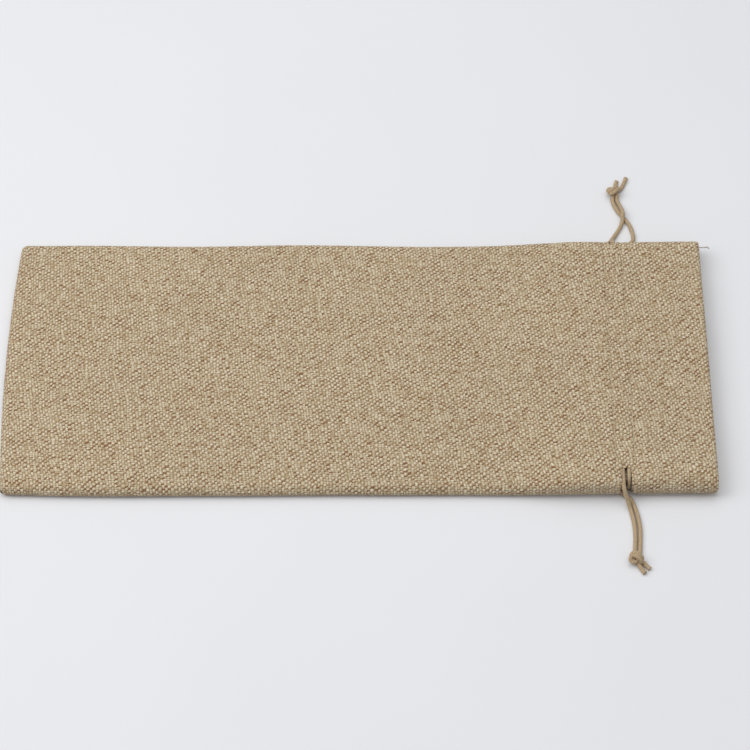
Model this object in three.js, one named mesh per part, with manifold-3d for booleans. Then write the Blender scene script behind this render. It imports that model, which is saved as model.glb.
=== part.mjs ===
// A drawstring gift bag for one wine bottle, lying flat and empty with its mouth towards +X.
// Two rectangles of coarse linen-look cloth are sewn together along the sides and the bottom. The mouth
// is hemmed inwards, and two stitch rows through the hem make a channel all round the neck. Two braided
// cords run in the channel: each one turns back at one side seam and leaves through the slot in the other,
// where its two ends are knotted together. Millimetres, +Z up, origin under the middle of the bag.
import * as THREE from 'three';
import { mergeVertices } from 'three/addons/utils/BufferGeometryUtils.js';
import Module from 'manifold-3d';

// Driving dimensions
const LENGTH = 350;
const WIDTH = 150;
const CLOTH = 0.8;
const CORD = 2.0;
const EDGE_HEIGHT = 6.6; // the bag's thickness along its side seams
const BODY_HEIGHT = 9.8; // in the middle of the body, where the two cloths stand apart
const BOTTOM_BOW = 3; // how far the bottom edge bows outwards
const EDGE_ROLL = 3.5; // how far the cloth takes to roll over from its top face to the seam
const SEAM_GAP = 0.3; // between the two cloths where they meet
const TOUCH = 0.3; // between any other pieces that touch

// Neck, from the table up: cloth, channel, hem, the way into the bag, hem, channel, cloth
const CHANNEL_HEIGHT = CORD + 0.5;
const MOUTH_HEIGHT = 4.2;
const NECK_HEIGHT = 4 * CLOTH + 2 * CHANNEL_HEIGHT + MOUTH_HEIGHT;
const NECK_MIDDLE = NECK_HEIGHT / 2;
const CORD_LEVEL = NECK_HEIGHT - CLOTH - CHANNEL_HEIGHT / 2; // centre of a cord in the front channel
const BACK_CORD_LEVEL = NECK_HEIGHT - CORD_LEVEL;
const NECK_RISE_FROM = 66; // the body's thickness grows into the neck's between these two
const NECK_RISE_TO = 116;
const BODY_FLATNESS = 8; // powers of the fall towards the edges: the higher, the longer the body stays thick
const BOTTOM_FLATNESS = 12;

// Places along the bag
const MOUTH_X = LENGTH / 2;
const HEM_EDGE_X = 118; // where the turned-in hem ends, past the channel
const HEM_SIDE_GAP = 1.8; // from the bag's edge in to the hem
const HEM_MOUTH_GAP = 0.4;
const LOWER_ROW_X = 126;
const UPPER_ROW_X = 135.2;
const SLOT_FROM_X = 126.5;
const SLOT_TO_X = 133.8;
const SLOT_DEPTH = 10.5; // how far a slot reaches in from the side
const NEAR_CORD_EXIT_X = 129.0; // where a cord leaves through its slot, and where it turns back at the other
const NEAR_CORD_TURN_X = 128.4;
const FAR_CORD_EXIT_X = 131.0;
const FAR_CORD_TURN_X = 132.1;

// Seams
const ALLOWANCE_WIDTH = 9.9;
const ALLOWANCE_TOP = 2 * CLOTH; // two raw edges lying together
const THREAD = 0.5;
const SEAM_STITCH = 6;
const SEAM_RISE = 0.7; // how far a seam's thread stands out on both sides of the seam
const SEAM_IN = 1.45; // from the bag's edge in to the seam's thread
const ALLOWANCE_IN = 2.1; // from the bag's edge in to the allowance, past the seam's own thread
const OVERLOCK_IN = ALLOWANCE_IN + ALLOWANCE_WIDTH + 0.6;
const OVERLOCK_RISE = 0.9;
const SIDE_FROM_X = -160; // the side seams' ends
const SIDE_TO_X = 122;
const RUFFLE_FROM_X = 139; // the short side seams' ends, between the slots and the mouth
const RUFFLE_TO_X = 172;
const BOTTOM_HALF = 60; // half of the bottom seam's length
const CHANNEL_STITCH = 4;
const CHANNEL_ROW_HALF = WIDTH / 2 - SLOT_DEPTH - 2.5;
const TACK_IN = 2.6; // from the bag's edge in to a slot's tack
const TACK_FROM_ROW = 0.6; // from the nearest channel row
const TACK_HALF = 0.4; // half of a tack's thickness

// Cords inside the channel
const LOOP_END_Y = WIDTH / 2 - 3; // where the loop meets its tails
const LOOP_TURN_Y = WIDTH / 2 - 7; // where its bend round the other side starts

// The free tails, from the slot to the knot, as centrelines
const REST_GAP = 0.05;
const ON_TABLE = CORD / 2 + REST_GAP;
const NEAR_FRONT_TAIL = [
  [NEAR_CORD_EXIT_X, -72.3, CORD_LEVEL], [NEAR_CORD_EXIT_X, -73.5, CORD_LEVEL - 0.1], [129.3, -75.6, 9.2],
  [130.0, -77.3, 7.3], [131.1, -79.2, 4.3], [132.1, -81.2, 2.0], [132.9, -84.0, 1.1],
  [133.9, -90.5, ON_TABLE], [134.1, -97.5, ON_TABLE], [133.6, -104.2, ON_TABLE], [133.4, -106.0, ON_TABLE],
];
const NEAR_BACK_TAIL = [
  [NEAR_CORD_EXIT_X, -72.3, BACK_CORD_LEVEL], [NEAR_CORD_EXIT_X, -73.4, BACK_CORD_LEVEL - 0.1],
  [131.2, -75.3, 1.5], [133.3, -77.4, 1.1], [134.7, -81.4, ON_TABLE], [136.0, -87.2, ON_TABLE],
  [136.6, -94.5, ON_TABLE], [136.2, -101.0, ON_TABLE], [135.9, -106.0, ON_TABLE],
];
const FAR_FRONT_TAIL = [
  [FAR_CORD_EXIT_X, 72.3, CORD_LEVEL], [FAR_CORD_EXIT_X, 73.5, CORD_LEVEL - 0.2], [130.8, 75.3, 8.7],
  [130.4, 76.7, 6.2], [130.2, 78.2, 3.7], [131.1, 80.7, 1.7], [133.1, 84.3, ON_TABLE],
  [135.7, 88.9, ON_TABLE], [137.3, 92.8, 1.6], [137.9, 96.8, 3.4], [137.6, 99.9, 2.9],
  [136.9, 103.2, 1.6], [135.5, 107.6, ON_TABLE],
];
const FAR_BACK_TAIL = [
  [FAR_CORD_EXIT_X, 72.3, BACK_CORD_LEVEL], [FAR_CORD_EXIT_X, 73.4, BACK_CORD_LEVEL - 0.1],
  [133.1, 75.4, 1.4], [136.2, 77.3, ON_TABLE], [140.0, 78.7, ON_TABLE], [142.4, 81.4, ON_TABLE],
  [142.6, 85.2, ON_TABLE], [141.1, 91.3, ON_TABLE], [138.8, 95.6, ON_TABLE], [135.6, 100.3, ON_TABLE],
  [133.7, 104.9, ON_TABLE], [133.1, 107.6, ON_TABLE],
];
const NEAR_KNOT = [133.9, -110.4];
const FAR_KNOT = [134.2, 112.0];
const KNOT_RADIUS = 3.6;
const KNOT_HEIGHT = 5.8;
const NEAR_ENDS = [
  [[135.3, -114.4, 1.3], [136.2, -116.0, ON_TABLE], [137.6, -118.1, ON_TABLE]],
  [[137.4, -112.6, 1.3], [138.5, -114.0, ON_TABLE], [140.0, -115.7, ON_TABLE]],
];
const FAR_ENDS = [
  [[137.2, 114.8, 1.3], [139.0, 117.6, ON_TABLE], [140.9, 122.6, ON_TABLE]],
  [[134.6, 116.1, 1.3], [135.1, 118.0, ON_TABLE], [135.9, 120.4, ON_TABLE]],
];

// Detail of the meshes
const ROLL_STEPS = 3;
const LENGTH_STEPS = 18;
const WIDTH_STEPS = 8;
const STRIP_STEPS = 10;
const CORD_SIDES = 8;
const THREAD_SIDES = 6;
const BEND_STEPS = 8;

const wasm = await Module();
wasm.setup();

const cloth = new THREE.MeshStandardMaterial({ color: 0xb29876, roughness: 0.95, metalness: 0 });
const cord = new THREE.MeshStandardMaterial({ color: 0xb08e62, roughness: 0.7, metalness: 0 });
const thread = new THREE.MeshStandardMaterial({ color: 0xd8caa8, roughness: 0.8, metalness: 0 });

const bag = new THREE.Group();

function place(name, geometry, material) {
  const mesh = new THREE.Mesh(geometry, material);
  mesh.name = name;
  bag.add(mesh);
}

// ---- solids ----

function welded(geometry) {
  geometry.deleteAttribute('normal');
  geometry.deleteAttribute('uv');
  return mergeVertices(geometry, 1e-5);
}

function toSolid(geometry) {
  const merged = welded(geometry);
  return new wasm.Manifold(new wasm.Mesh({
    numProp: 3,
    vertProperties: new Float32Array(merged.attributes.position.array),
    triVerts: new Uint32Array(merged.index.array),
  }));
}

function toGeometry(solid) {
  const mesh = solid.getMesh();
  const geometry = new THREE.BufferGeometry();
  geometry.setAttribute('position', new THREE.BufferAttribute(mesh.vertProperties, 3));
  geometry.setIndex(new THREE.BufferAttribute(mesh.triVerts, 1));
  return geometry;
}

function boxBetween(low, high) {
  const size = high.map((value, i) => value - low[i]);
  const geometry = new THREE.BoxGeometry(...size);
  return geometry.translate(...low.map((value, i) => value + size[i] / 2));
}

// A box of cells whose every corner is put where at(column, row, outside) says
function shell(columns, rows, at) {
  const geometry = new THREE.BoxGeometry(columns, rows, 1, columns, rows, 1);
  const position = geometry.attributes.position;
  for (let i = 0; i < position.count; i += 1) {
    const column = Math.round(position.getX(i) + columns / 2);
    const row = Math.round(position.getY(i) + rows / 2);
    position.setXYZ(i, ...at(column, row, position.getZ(i) > 0));
  }
  return welded(geometry);
}

// Cuts the two drawstring slots out of a piece, one in each side of the neck
function slotted(geometry) {
  let solid = toSolid(geometry);
  for (const side of [-1, 1]) {
    const edges = [side * (WIDTH / 2 - SLOT_DEPTH), side * WIDTH];
    const cutter = boxBetween(
      [SLOT_FROM_X, Math.min(...edges), -CLOTH],
      [SLOT_TO_X, Math.max(...edges), NECK_HEIGHT + CLOTH],
    );
    solid = solid.subtract(toSolid(cutter));
  }
  return toGeometry(solid);
}

// A route that passes straight from each hand-placed point to the next, with one section at each point
class Route extends THREE.Curve {
  constructor(points) {
    super();
    this.points = points.map((point) => new THREE.Vector3(...point));
  }

  getPoint(t, target = new THREE.Vector3()) {
    const along = t * (this.points.length - 1);
    const before = Math.min(Math.floor(along), this.points.length - 2);
    return target.lerpVectors(this.points[before], this.points[before + 1], along - before);
  }

  getTangent(t, target = new THREE.Vector3()) {
    const last = this.points.length - 1;
    const here = Math.round(t * last);
    const before = this.points[Math.max(here - 1, 0)];
    const after = this.points[Math.min(here + 1, last)];
    return target.subVectors(after, before).normalize();
  }

  getUtoTmapping(u) {
    return u;
  }
}

function tube(points, diameter, sides) {
  const section = new THREE.Shape();
  for (let i = 0; i < sides; i += 1) {
    const angle = ((i + 0.5) / sides) * 2 * Math.PI;
    const corner = [Math.cos(angle) * diameter / 2, Math.sin(angle) * diameter / 2];
    section[i ? 'lineTo' : 'moveTo'](...corner);
  }
  section.closePath();
  return welded(new THREE.ExtrudeGeometry(section, {
    steps: points.length - 1,
    extrudePath: new Route(points),
  }));
}

// ---- the shape of the flat bag ----

function smooth(from, to, value) {
  const t = Math.min(Math.max((value - from) / (to - from), 0), 1);
  return t * t * (3 - 2 * t);
}

function edgeHeight(x) {
  return EDGE_HEIGHT + (NECK_HEIGHT - EDGE_HEIGHT) * smooth(NECK_RISE_FROM, NECK_RISE_TO, x);
}

function seamLevel(x) {
  return edgeHeight(x) / 2;
}

function topHeight(x, y) {
  const middle = BODY_HEIGHT + (NECK_HEIGHT - BODY_HEIGHT) * smooth(NECK_RISE_FROM, NECK_RISE_TO, x);
  const across = 1 - Math.abs(y / (WIDTH / 2)) ** BODY_FLATNESS;
  const along = 1 - Math.min(Math.max(-x / (LENGTH / 2), 0), 1) ** BOTTOM_FLATNESS;
  return edgeHeight(x) + (middle - edgeHeight(x)) * across * along;
}

function bowed(x, y) {
  const towardsBottom = Math.max(-x / (LENGTH / 2), 0) ** 3;
  return x + BOTTOM_BOW * (y / (WIDTH / 2)) ** 2 * towardsBottom;
}

// How far along its roll a grid line is, from 0 on the flat to 1 at the seam, for lines counted from the seam
function rollOf(line) {
  return line < ROLL_STEPS ? Math.cos((line / ROLL_STEPS) * Math.PI / 2) : 0;
}

// The cloth of one side of the bag: flat, then rolled over to the seams at its two sides and its bottom
function panelPoint(column, row, outside, isFront) {
  const rows = 2 * ROLL_STEPS + WIDTH_STEPS;
  const side = row < rows / 2 ? -1 : 1;
  const rollX = rollOf(column);
  const rollY = rollOf(Math.min(row, rows - row));
  const roll = EDGE_ROLL - (outside ? 0 : CLOTH);
  const inX = rollX * Math.sqrt(1 - rollY ** 2 / 2);
  const inY = rollY * Math.sqrt(1 - rollX ** 2 / 2);
  const flatX = LENGTH / 2 - EDGE_ROLL;
  const flatY = WIDTH / 2 - EDGE_ROLL;
  const flatColumn = Math.max(column - ROLL_STEPS, 0) / LENGTH_STEPS;
  const flatRow = Math.min(Math.max(row - ROLL_STEPS, 0), WIDTH_STEPS) / WIDTH_STEPS;
  const x = -flatX + flatColumn * (flatX + MOUTH_X) - roll * inX;
  const y = -flatY + flatRow * 2 * flatY + side * roll * inY;
  const rise = Math.sqrt(Math.max(1 - inX ** 2 - inY ** 2, 0));
  const seam = seamLevel(x) + (isFront ? SEAM_GAP / 2 : -SEAM_GAP / 2);
  const face = isFront ? topHeight(x, y) - (outside ? 0 : CLOTH) : (outside ? 0 : CLOTH);
  return [bowed(x, y), y, seam + (face - seam) * rise];
}

function panel(isFront) {
  const columns = ROLL_STEPS + LENGTH_STEPS;
  const rows = 2 * ROLL_STEPS + WIDTH_STEPS;
  const at = (column, row, upper) => panelPoint(column, row, upper === isFront, isFront);
  return slotted(shell(columns, rows, at));
}

// The part of the hem that is turned inside, flat against the channel
function facing(low) {
  const half = WIDTH / 2 - HEM_SIDE_GAP;
  return slotted(boxBetween([HEM_EDGE_X, -half, low], [MOUTH_X - HEM_MOUTH_GAP, half, low + CLOTH]));
}

// ---- seams ----

// Two raw edges lying together inside the bag, along a side seam (side is -1 or 1)
function sideAllowance(side) {
  const outer = side * (WIDTH / 2 - ALLOWANCE_IN);
  const inner = outer - side * ALLOWANCE_WIDTH;
  const edges = [Math.min(outer, inner), Math.max(outer, inner)];
  return shell(STRIP_STEPS, 1, (column, row, upper) => {
    const x = SIDE_FROM_X + (SIDE_TO_X - SIDE_FROM_X) * column / STRIP_STEPS;
    return [x, edges[row], seamLevel(x) + (upper ? ALLOWANCE_TOP : -ALLOWANCE_TOP) / 2];
  });
}

function bottomAllowance() {
  return shell(1, STRIP_STEPS, (column, row, upper) => {
    const y = BOTTOM_HALF * (2 * row / STRIP_STEPS - 1);
    const x = -LENGTH / 2 + ALLOWANCE_IN + column * ALLOWANCE_WIDTH;
    return [bowed(x, y), y, seamLevel(x) + (upper ? ALLOWANCE_TOP : -ALLOWANCE_TOP) / 2];
  });
}

// A thread that goes up through the cloths and down again, stitch after stitch, between two places
function stitches(from, to, stitchLength, rise, at) {
  const count = Math.round((to - from) / stitchLength);
  const points = [];
  for (let i = 0; i <= count; i += 1) {
    const [x, y, z] = at(from + (to - from) * i / count);
    points.push([x, y, z + (i % 2 ? rise : -rise)]);
  }
  return tube(points, THREAD, THREAD_SIDES);
}

function sideStitches(side, from, to, inwards, rise) {
  const y = side * (WIDTH / 2 - inwards);
  return stitches(from, to, SEAM_STITCH, rise, (x) => [x, y, seamLevel(x)]);
}

function bottomStitches(inwards, rise) {
  const x = -LENGTH / 2 + inwards;
  return stitches(-BOTTOM_HALF, BOTTOM_HALF, SEAM_STITCH, rise, (y) => [bowed(x, y), y, seamLevel(x)]);
}

function channelRow(x, level) {
  const rise = (CHANNEL_HEIGHT - THREAD) / 2 - TOUCH;
  const at = (y) => [x, y, level];
  return stitches(-CHANNEL_ROW_HALF, CHANNEL_ROW_HALF, CHANNEL_STITCH, rise, at);
}

// A short column of close stitches that ends the side seam at one edge of a slot
function slotTack(side, x) {
  const middle = [x, side * (WIDTH / 2 - TACK_IN), NECK_MIDDLE];
  const half = [TACK_HALF, TACK_HALF, MOUTH_HEIGHT / 2 - TOUCH];
  return boxBetween(
    middle.map((value, i) => value - half[i]),
    middle.map((value, i) => value + half[i]),
  );
}

// ---- cords ----

// The stretch inside the channel: out along the front, round through the other slot, back along the back.
// side is where its ends leave the bag.
function cordLoop(side, exitX, turnX) {
  const endY = side * LOOP_END_Y;
  const turnY = -side * LOOP_TURN_Y;
  const radius = (CORD_LEVEL - BACK_CORD_LEVEL) / 2;
  const points = [[exitX, endY, CORD_LEVEL]];
  for (let i = 0; i <= BEND_STEPS; i += 1) {
    const angle = (i / BEND_STEPS) * Math.PI;
    points.push([turnX, turnY - side * radius * Math.sin(angle), NECK_MIDDLE + radius * Math.cos(angle)]);
  }
  points.push([exitX, endY, BACK_CORD_LEVEL]);
  return tube(points, CORD, CORD_SIDES);
}

function knot([x, y]) {
  const ball = new THREE.SphereGeometry(1, 12, 8).rotateX(Math.PI / 2);
  ball.scale(KNOT_RADIUS, KNOT_RADIUS, KNOT_HEIGHT / 2);
  return welded(ball.translate(x, y, KNOT_HEIGHT / 2 + REST_GAP));
}

// ---- the bag ----

place('front_panel', panel(true), cloth);
place('back_panel', panel(false), cloth);
place('front_facing', facing(NECK_MIDDLE + MOUTH_HEIGHT / 2), cloth);
place('back_facing', facing(NECK_MIDDLE - MOUTH_HEIGHT / 2 - CLOTH), cloth);
place('bottom_seam_allowance', bottomAllowance(), cloth);
place('bottom_seam_thread', bottomStitches(SEAM_IN, SEAM_RISE), thread);
place('bottom_overlock_thread', bottomStitches(OVERLOCK_IN, OVERLOCK_RISE), thread);

for (const [name, level] of [['front', CORD_LEVEL], ['back', BACK_CORD_LEVEL]]) {
  place(`${name}_channel_lower_stitching`, channelRow(LOWER_ROW_X, level), thread);
  place(`${name}_channel_upper_stitching`, channelRow(UPPER_ROW_X, level), thread);
}

const sides = [
  {
    name: 'near',
    side: -1,
    cordX: [NEAR_CORD_EXIT_X, NEAR_CORD_TURN_X],
    frontTail: NEAR_FRONT_TAIL,
    backTail: NEAR_BACK_TAIL,
    knotAt: NEAR_KNOT,
    ends: NEAR_ENDS,
  },
  {
    name: 'far',
    side: 1,
    cordX: [FAR_CORD_EXIT_X, FAR_CORD_TURN_X],
    frontTail: FAR_FRONT_TAIL,
    backTail: FAR_BACK_TAIL,
    knotAt: FAR_KNOT,
    ends: FAR_ENDS,
  },
];

for (const { name, side, cordX, frontTail, backTail, knotAt, ends } of sides) {
  const long = [side, SIDE_FROM_X, SIDE_TO_X];
  const short = [side, RUFFLE_FROM_X, RUFFLE_TO_X];
  place(`${name}_seam_allowance`, sideAllowance(side), cloth);
  place(`${name}_side_seam_thread`, sideStitches(...long, SEAM_IN, SEAM_RISE), thread);
  place(`${name}_ruffle_seam_thread`, sideStitches(...short, SEAM_IN, SEAM_RISE), thread);
  place(`${name}_overlock_thread`, sideStitches(...long, OVERLOCK_IN, OVERLOCK_RISE), thread);
  place(`${name}_slot_lower_tack`, slotTack(side, LOWER_ROW_X - TACK_FROM_ROW), thread);
  place(`${name}_slot_upper_tack`, slotTack(side, UPPER_ROW_X + TACK_FROM_ROW), thread);
  place(`${name}_cord_loop`, cordLoop(side, ...cordX), cord);
  place(`${name}_cord_front_tail`, tube(frontTail, CORD, CORD_SIDES), cord);
  place(`${name}_cord_back_tail`, tube(backTail, CORD, CORD_SIDES), cord);
  place(`${name}_cord_knot`, knot(knotAt), cord);
  place(`${name}_cord_end_a`, tube(ends[0], CORD, CORD_SIDES), cord);
  place(`${name}_cord_end_b`, tube(ends[1], CORD, CORD_SIDES), cord);
}

export default bag;
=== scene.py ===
"""A drawstring gift bag for one wine bottle, lying flat and empty on a pale table.

The cloth is laid out yarn by yarn: each sheet is a grid in yarn coordinates that is lifted onto the bag's
shape, turned in at the mouth and raised where yarns pass over each other. The cords are braided tubes along
the same routes as the CAD cords. Lengths are in millimetres until a mesh is made, as in the CAD source.
"""
import math

import bmesh
import bpy
import numpy as np
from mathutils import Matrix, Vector, noise


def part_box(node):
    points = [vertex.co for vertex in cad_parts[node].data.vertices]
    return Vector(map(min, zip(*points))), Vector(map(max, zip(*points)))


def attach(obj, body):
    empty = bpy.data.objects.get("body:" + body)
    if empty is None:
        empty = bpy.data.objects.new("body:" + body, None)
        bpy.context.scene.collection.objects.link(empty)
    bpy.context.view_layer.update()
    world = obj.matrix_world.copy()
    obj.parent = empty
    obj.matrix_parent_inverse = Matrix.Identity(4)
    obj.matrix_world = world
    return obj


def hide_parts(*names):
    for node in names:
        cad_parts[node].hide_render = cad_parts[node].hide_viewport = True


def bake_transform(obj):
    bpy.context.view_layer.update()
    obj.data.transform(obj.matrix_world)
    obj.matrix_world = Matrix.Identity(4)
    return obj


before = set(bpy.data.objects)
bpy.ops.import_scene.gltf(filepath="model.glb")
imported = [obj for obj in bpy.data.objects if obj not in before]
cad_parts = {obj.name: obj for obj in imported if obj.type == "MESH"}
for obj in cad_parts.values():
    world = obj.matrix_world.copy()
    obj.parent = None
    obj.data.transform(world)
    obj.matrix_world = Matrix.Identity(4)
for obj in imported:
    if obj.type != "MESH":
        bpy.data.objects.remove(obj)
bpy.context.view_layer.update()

MM = 0.001
BAG = "bag"
SIDES = {"near": -1, "far": 1}
OWN_CORD = {"near": "near_drawstring", "far": "far_drawstring"}


def node_box(name):
    low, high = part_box(name)
    return np.array(low) / MM, np.array(high) / MM


# ---- sizes, from the frame ----

FRONT_LOW, FRONT_HIGH = node_box("front_panel")
HEM_LOW, HEM_HIGH = node_box("front_facing")
CLOTH = HEM_HIGH[2] - HEM_LOW[2]
LENGTH = FRONT_HIGH[0] - FRONT_LOW[0]
WIDTH = FRONT_HIGH[1] - FRONT_LOW[1]
MOUTH_X = FRONT_HIGH[0]
NECK_HEIGHT = FRONT_HIGH[2]
HEM_DEPTH = NECK_HEIGHT - HEM_LOW[2]  # from the neck's outer face to the hem's inner face
HEM_EDGE_X = HEM_LOW[0]
ROW_IN = 0.2  # from the edge of a row of channel stitches to about its middle
LOWER_ROW_X = node_box("front_channel_lower_stitching")[0][0] + ROW_IN
UPPER_ROW_X = node_box("front_channel_upper_stitching")[0][0] + ROW_IN
ROWS_END_Y = node_box("front_channel_lower_stitching")[1][1]

# Sizes that are as in the CAD source
CORD = 2.0
CORD_LEVEL = NECK_HEIGHT - HEM_DEPTH / 2
BACK_CORD_LEVEL = NECK_HEIGHT - CORD_LEVEL
ON_TABLE = CORD / 2 + 0.05  # the height of a cord's middle where it lies on the table
CORD_EXIT_X = {"near": 129.0, "far": 131.0}  # where each cord's two strands leave the bag
CORD_TURN_X = {"near": 128.4, "far": 132.1}  # where it turns in the other slot
LOOP_TURN_Y = WIDTH / 2 - 7  # how far from the bag's middle line that turn starts
EDGE_HEIGHT = 6.6
BODY_HEIGHT = 9.8
BOTTOM_BOW = 3.0
NECK_RISE = (66, 116)  # from where to where the body's thickness grows into the neck's
SLOT_INNER_Y = WIDTH / 2 - 10.5

# The slots' openings: where each starts and stops along the bag, in the outer cloth and in the hem, and how
# near the bag's middle line it reaches
SLOT_X = {"near": (128.2, 133.1), "far": (129.8, 132.2)}
HEM_SLOT_X = {"near": (127.9, 133.3), "far": (127.3, 132.2)}
SLOT_Y = {
    ("near", "front"): SLOT_INNER_Y,
    ("near", "back"): WIDTH / 2 - 3.5,
    ("far", "front"): WIDTH / 2 - 2.3,
    ("far", "back"): WIDTH / 2 - 3.5,
}
HEM_SLOT_Y = WIDTH / 2 - 5.3
SLOT_TUCK = 0.8  # how far the slot's edges are turned in
SLOT_TUCK_WIDTH = 0.9

# The weave: one yarn of each set takes this much room
YARN_X = 1.52  # between yarns that run across the bag
YARN_Y = 1.20  # between yarns that run along the bag
# How far the yarns across lean towards the mouth at the near side, for each millimetre, at bottom and mouth
SKEW_ACROSS = (0.115, 0.155)
SKEW_ALONG = 0.026
GRID_STEP = 0.36
YARN_RADIUS = 0.30
YARN_WAVE = 0.16  # how far a yarn's middle goes up and down
YARN_ROUND = 1.8  # the higher, the narrower the round top of each yarn
FLOAT_LEAN = 0.13  # how far the twist turns each float, as a share of a yarn
WANDER = ((11, 0.32), (4.2, 0.26))  # how yarns stray: over what length, and how far as a share of a yarn


# ---- nodes written as sums ----

class Term:
    """A node socket that can be used in arithmetic."""

    def __init__(self, tree, socket):
        self.tree = tree
        self.socket = socket

    def math(self, operation, *others):
        node = self.tree.nodes.new("ShaderNodeMath")
        node.operation = operation
        for place, value in enumerate((self, *others)):
            if isinstance(value, Term):
                self.tree.links.new(value.socket, node.inputs[place])
            else:
                node.inputs[place].default_value = value
        return Term(self.tree, node.outputs[0])

    def __add__(self, other):
        return self.math("ADD", other)

    def __sub__(self, other):
        return self.math("SUBTRACT", other)

    def __mul__(self, other):
        return self.math("MULTIPLY", other)

    def floor(self):
        return self.math("FLOOR")

    def sin(self):
        return self.math("SINE")

    def cos(self):
        return self.math("COSINE")

    def root(self):
        return self.at_least(0).math("SQRT")

    def at_least(self, other):
        return self.math("MAXIMUM", other)

    def at_most(self, other):
        return self.math("MINIMUM", other)

    def rounded(self, share):
        """The height of a round yarn, where self runs from -0.5 to 0.5 across it and share is about 1.9."""
        across = self * share
        return (across * across * -1 + 1).root()


class Look:
    """A new material with a Principled shader, and short ways to add nodes to it."""

    def __init__(self, name, roughness, sheen=0.0):
        self.material = bpy.data.materials.new(name)
        self.material.use_nodes = True
        self.tree = self.material.node_tree
        self.shader = self.tree.nodes["Principled BSDF"]
        self.shader.inputs["Roughness"].default_value = roughness
        self.shader.inputs["Specular IOR Level"].default_value = 0.25
        self.shader.inputs["Sheen Weight"].default_value = sheen
        self.shader.inputs["Sheen Roughness"].default_value = 0.5

    def new(self, kind, **inputs):
        node = self.tree.nodes.new(kind)
        for name, value in inputs.items():
            self.put(value, node.inputs[name.replace("_", " ")])
        return node

    def put(self, value, socket):
        if isinstance(value, Term):
            value = value.socket
        if isinstance(value, bpy.types.NodeSocket):
            self.tree.links.new(value, socket)
        else:
            socket.default_value = value

    def pattern_place(self):
        """The two pattern coordinates that the mesh carries."""
        uv = self.new("ShaderNodeUVMap")
        uv.uv_map = "pattern"
        parts = self.new("ShaderNodeSeparateXYZ", Vector=uv.outputs["UV"])
        return Term(self.tree, parts.outputs["X"]), Term(self.tree, parts.outputs["Y"])

    def point(self, x, y, z=0.0):
        return self.new("ShaderNodeCombineXYZ", X=x, Y=y, Z=z).outputs[0]

    def noise(self, place, scale, detail=2.0):
        node = self.new("ShaderNodeTexNoise", Vector=place, Scale=scale, Detail=detail)
        return Term(self.tree, node.outputs["Fac"])

    def ramp(self, value, *stops):
        node = self.new("ShaderNodeValToRGB", Fac=value)
        elements = node.color_ramp.elements
        while len(elements) < len(stops):
            elements.new(0.5)
        for element, (position, colour) in zip(elements, stops):
            element.position = position
            element.color = (*colour, 1)
        return node.outputs["Color"]

    def mix(self, share, a, b, blend_type="MIX"):
        node = self.tree.nodes.new("ShaderNodeMix")
        node.data_type = "RGBA"
        node.blend_type = blend_type
        for name, value in ((0, share), (6, a), (7, b)):
            if isinstance(value, tuple):
                value = (*value, 1)
            self.put(value, node.inputs[name])
        return node.outputs[2]

    def finish(self, colour, height=None, depth=0.0003, strength=0.5):
        self.put(colour, self.shader.inputs["Base Color"])
        if height is not None:
            bump = self.new("ShaderNodeBump", Height=height, Strength=strength, Distance=depth)
            self.put(bump.outputs[0], self.shader.inputs["Normal"])
        return self.material


WHITE = (1, 1, 1)
BLACK = (0, 0, 0)
# Yarns, the painted shade for the gaps between them, the darker tones that wear and fibres give them, and the
# painted shade for the grooves at the yarns' sides
PALE = (0.90, 0.82, 0.645)
CREAM = (0.795, 0.70, 0.505)
SAND = (0.64, 0.515, 0.335)
TAN = (0.52, 0.385, 0.225)
RUST = (0.29, 0.14, 0.06)
PAINTED_GAP_SHADE = (0.06, 0.03, 0.012)
WEAR_SHADE = (0.88, 0.88, 0.88)
FIBRE_SHADE = (0.60, 0.53, 0.46)
PAINTED_GROOVE_SHADE = (0.42, 0.33, 0.24)


def yarn_heights(look, u, v, i, j):
    """The heights of the yarns that run along the bag and across it, at u and v yarns. i and j number the
    yarns. Their twist makes each float lean the same way, and they are thicker in some places."""
    turn_i = (i * math.pi).cos()
    turn_j = (j * math.pi).cos()
    along = (u * math.pi).cos() * turn_j
    across = (v * math.pi).cos() * turn_i * -1
    lean_along = v - j - (u * math.pi).sin() * turn_j * FLOAT_LEAN
    lean_across = u - i + (v * math.pi).sin() * turn_i * FLOAT_LEAN
    slub_along = look.noise(look.point(u * 0.4, j * 3.7, 11.0), 1.0) * 1.7 + 1.05
    slub_across = look.noise(look.point(i * 3.7, v * 0.4, 12.0), 1.0) * 1.7 + 1.05
    along_height = along * 0.6 + lean_along.rounded(slub_along)
    across_height = across * 0.6 + lean_across.rounded(slub_across)
    return along_height, across_height


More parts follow.
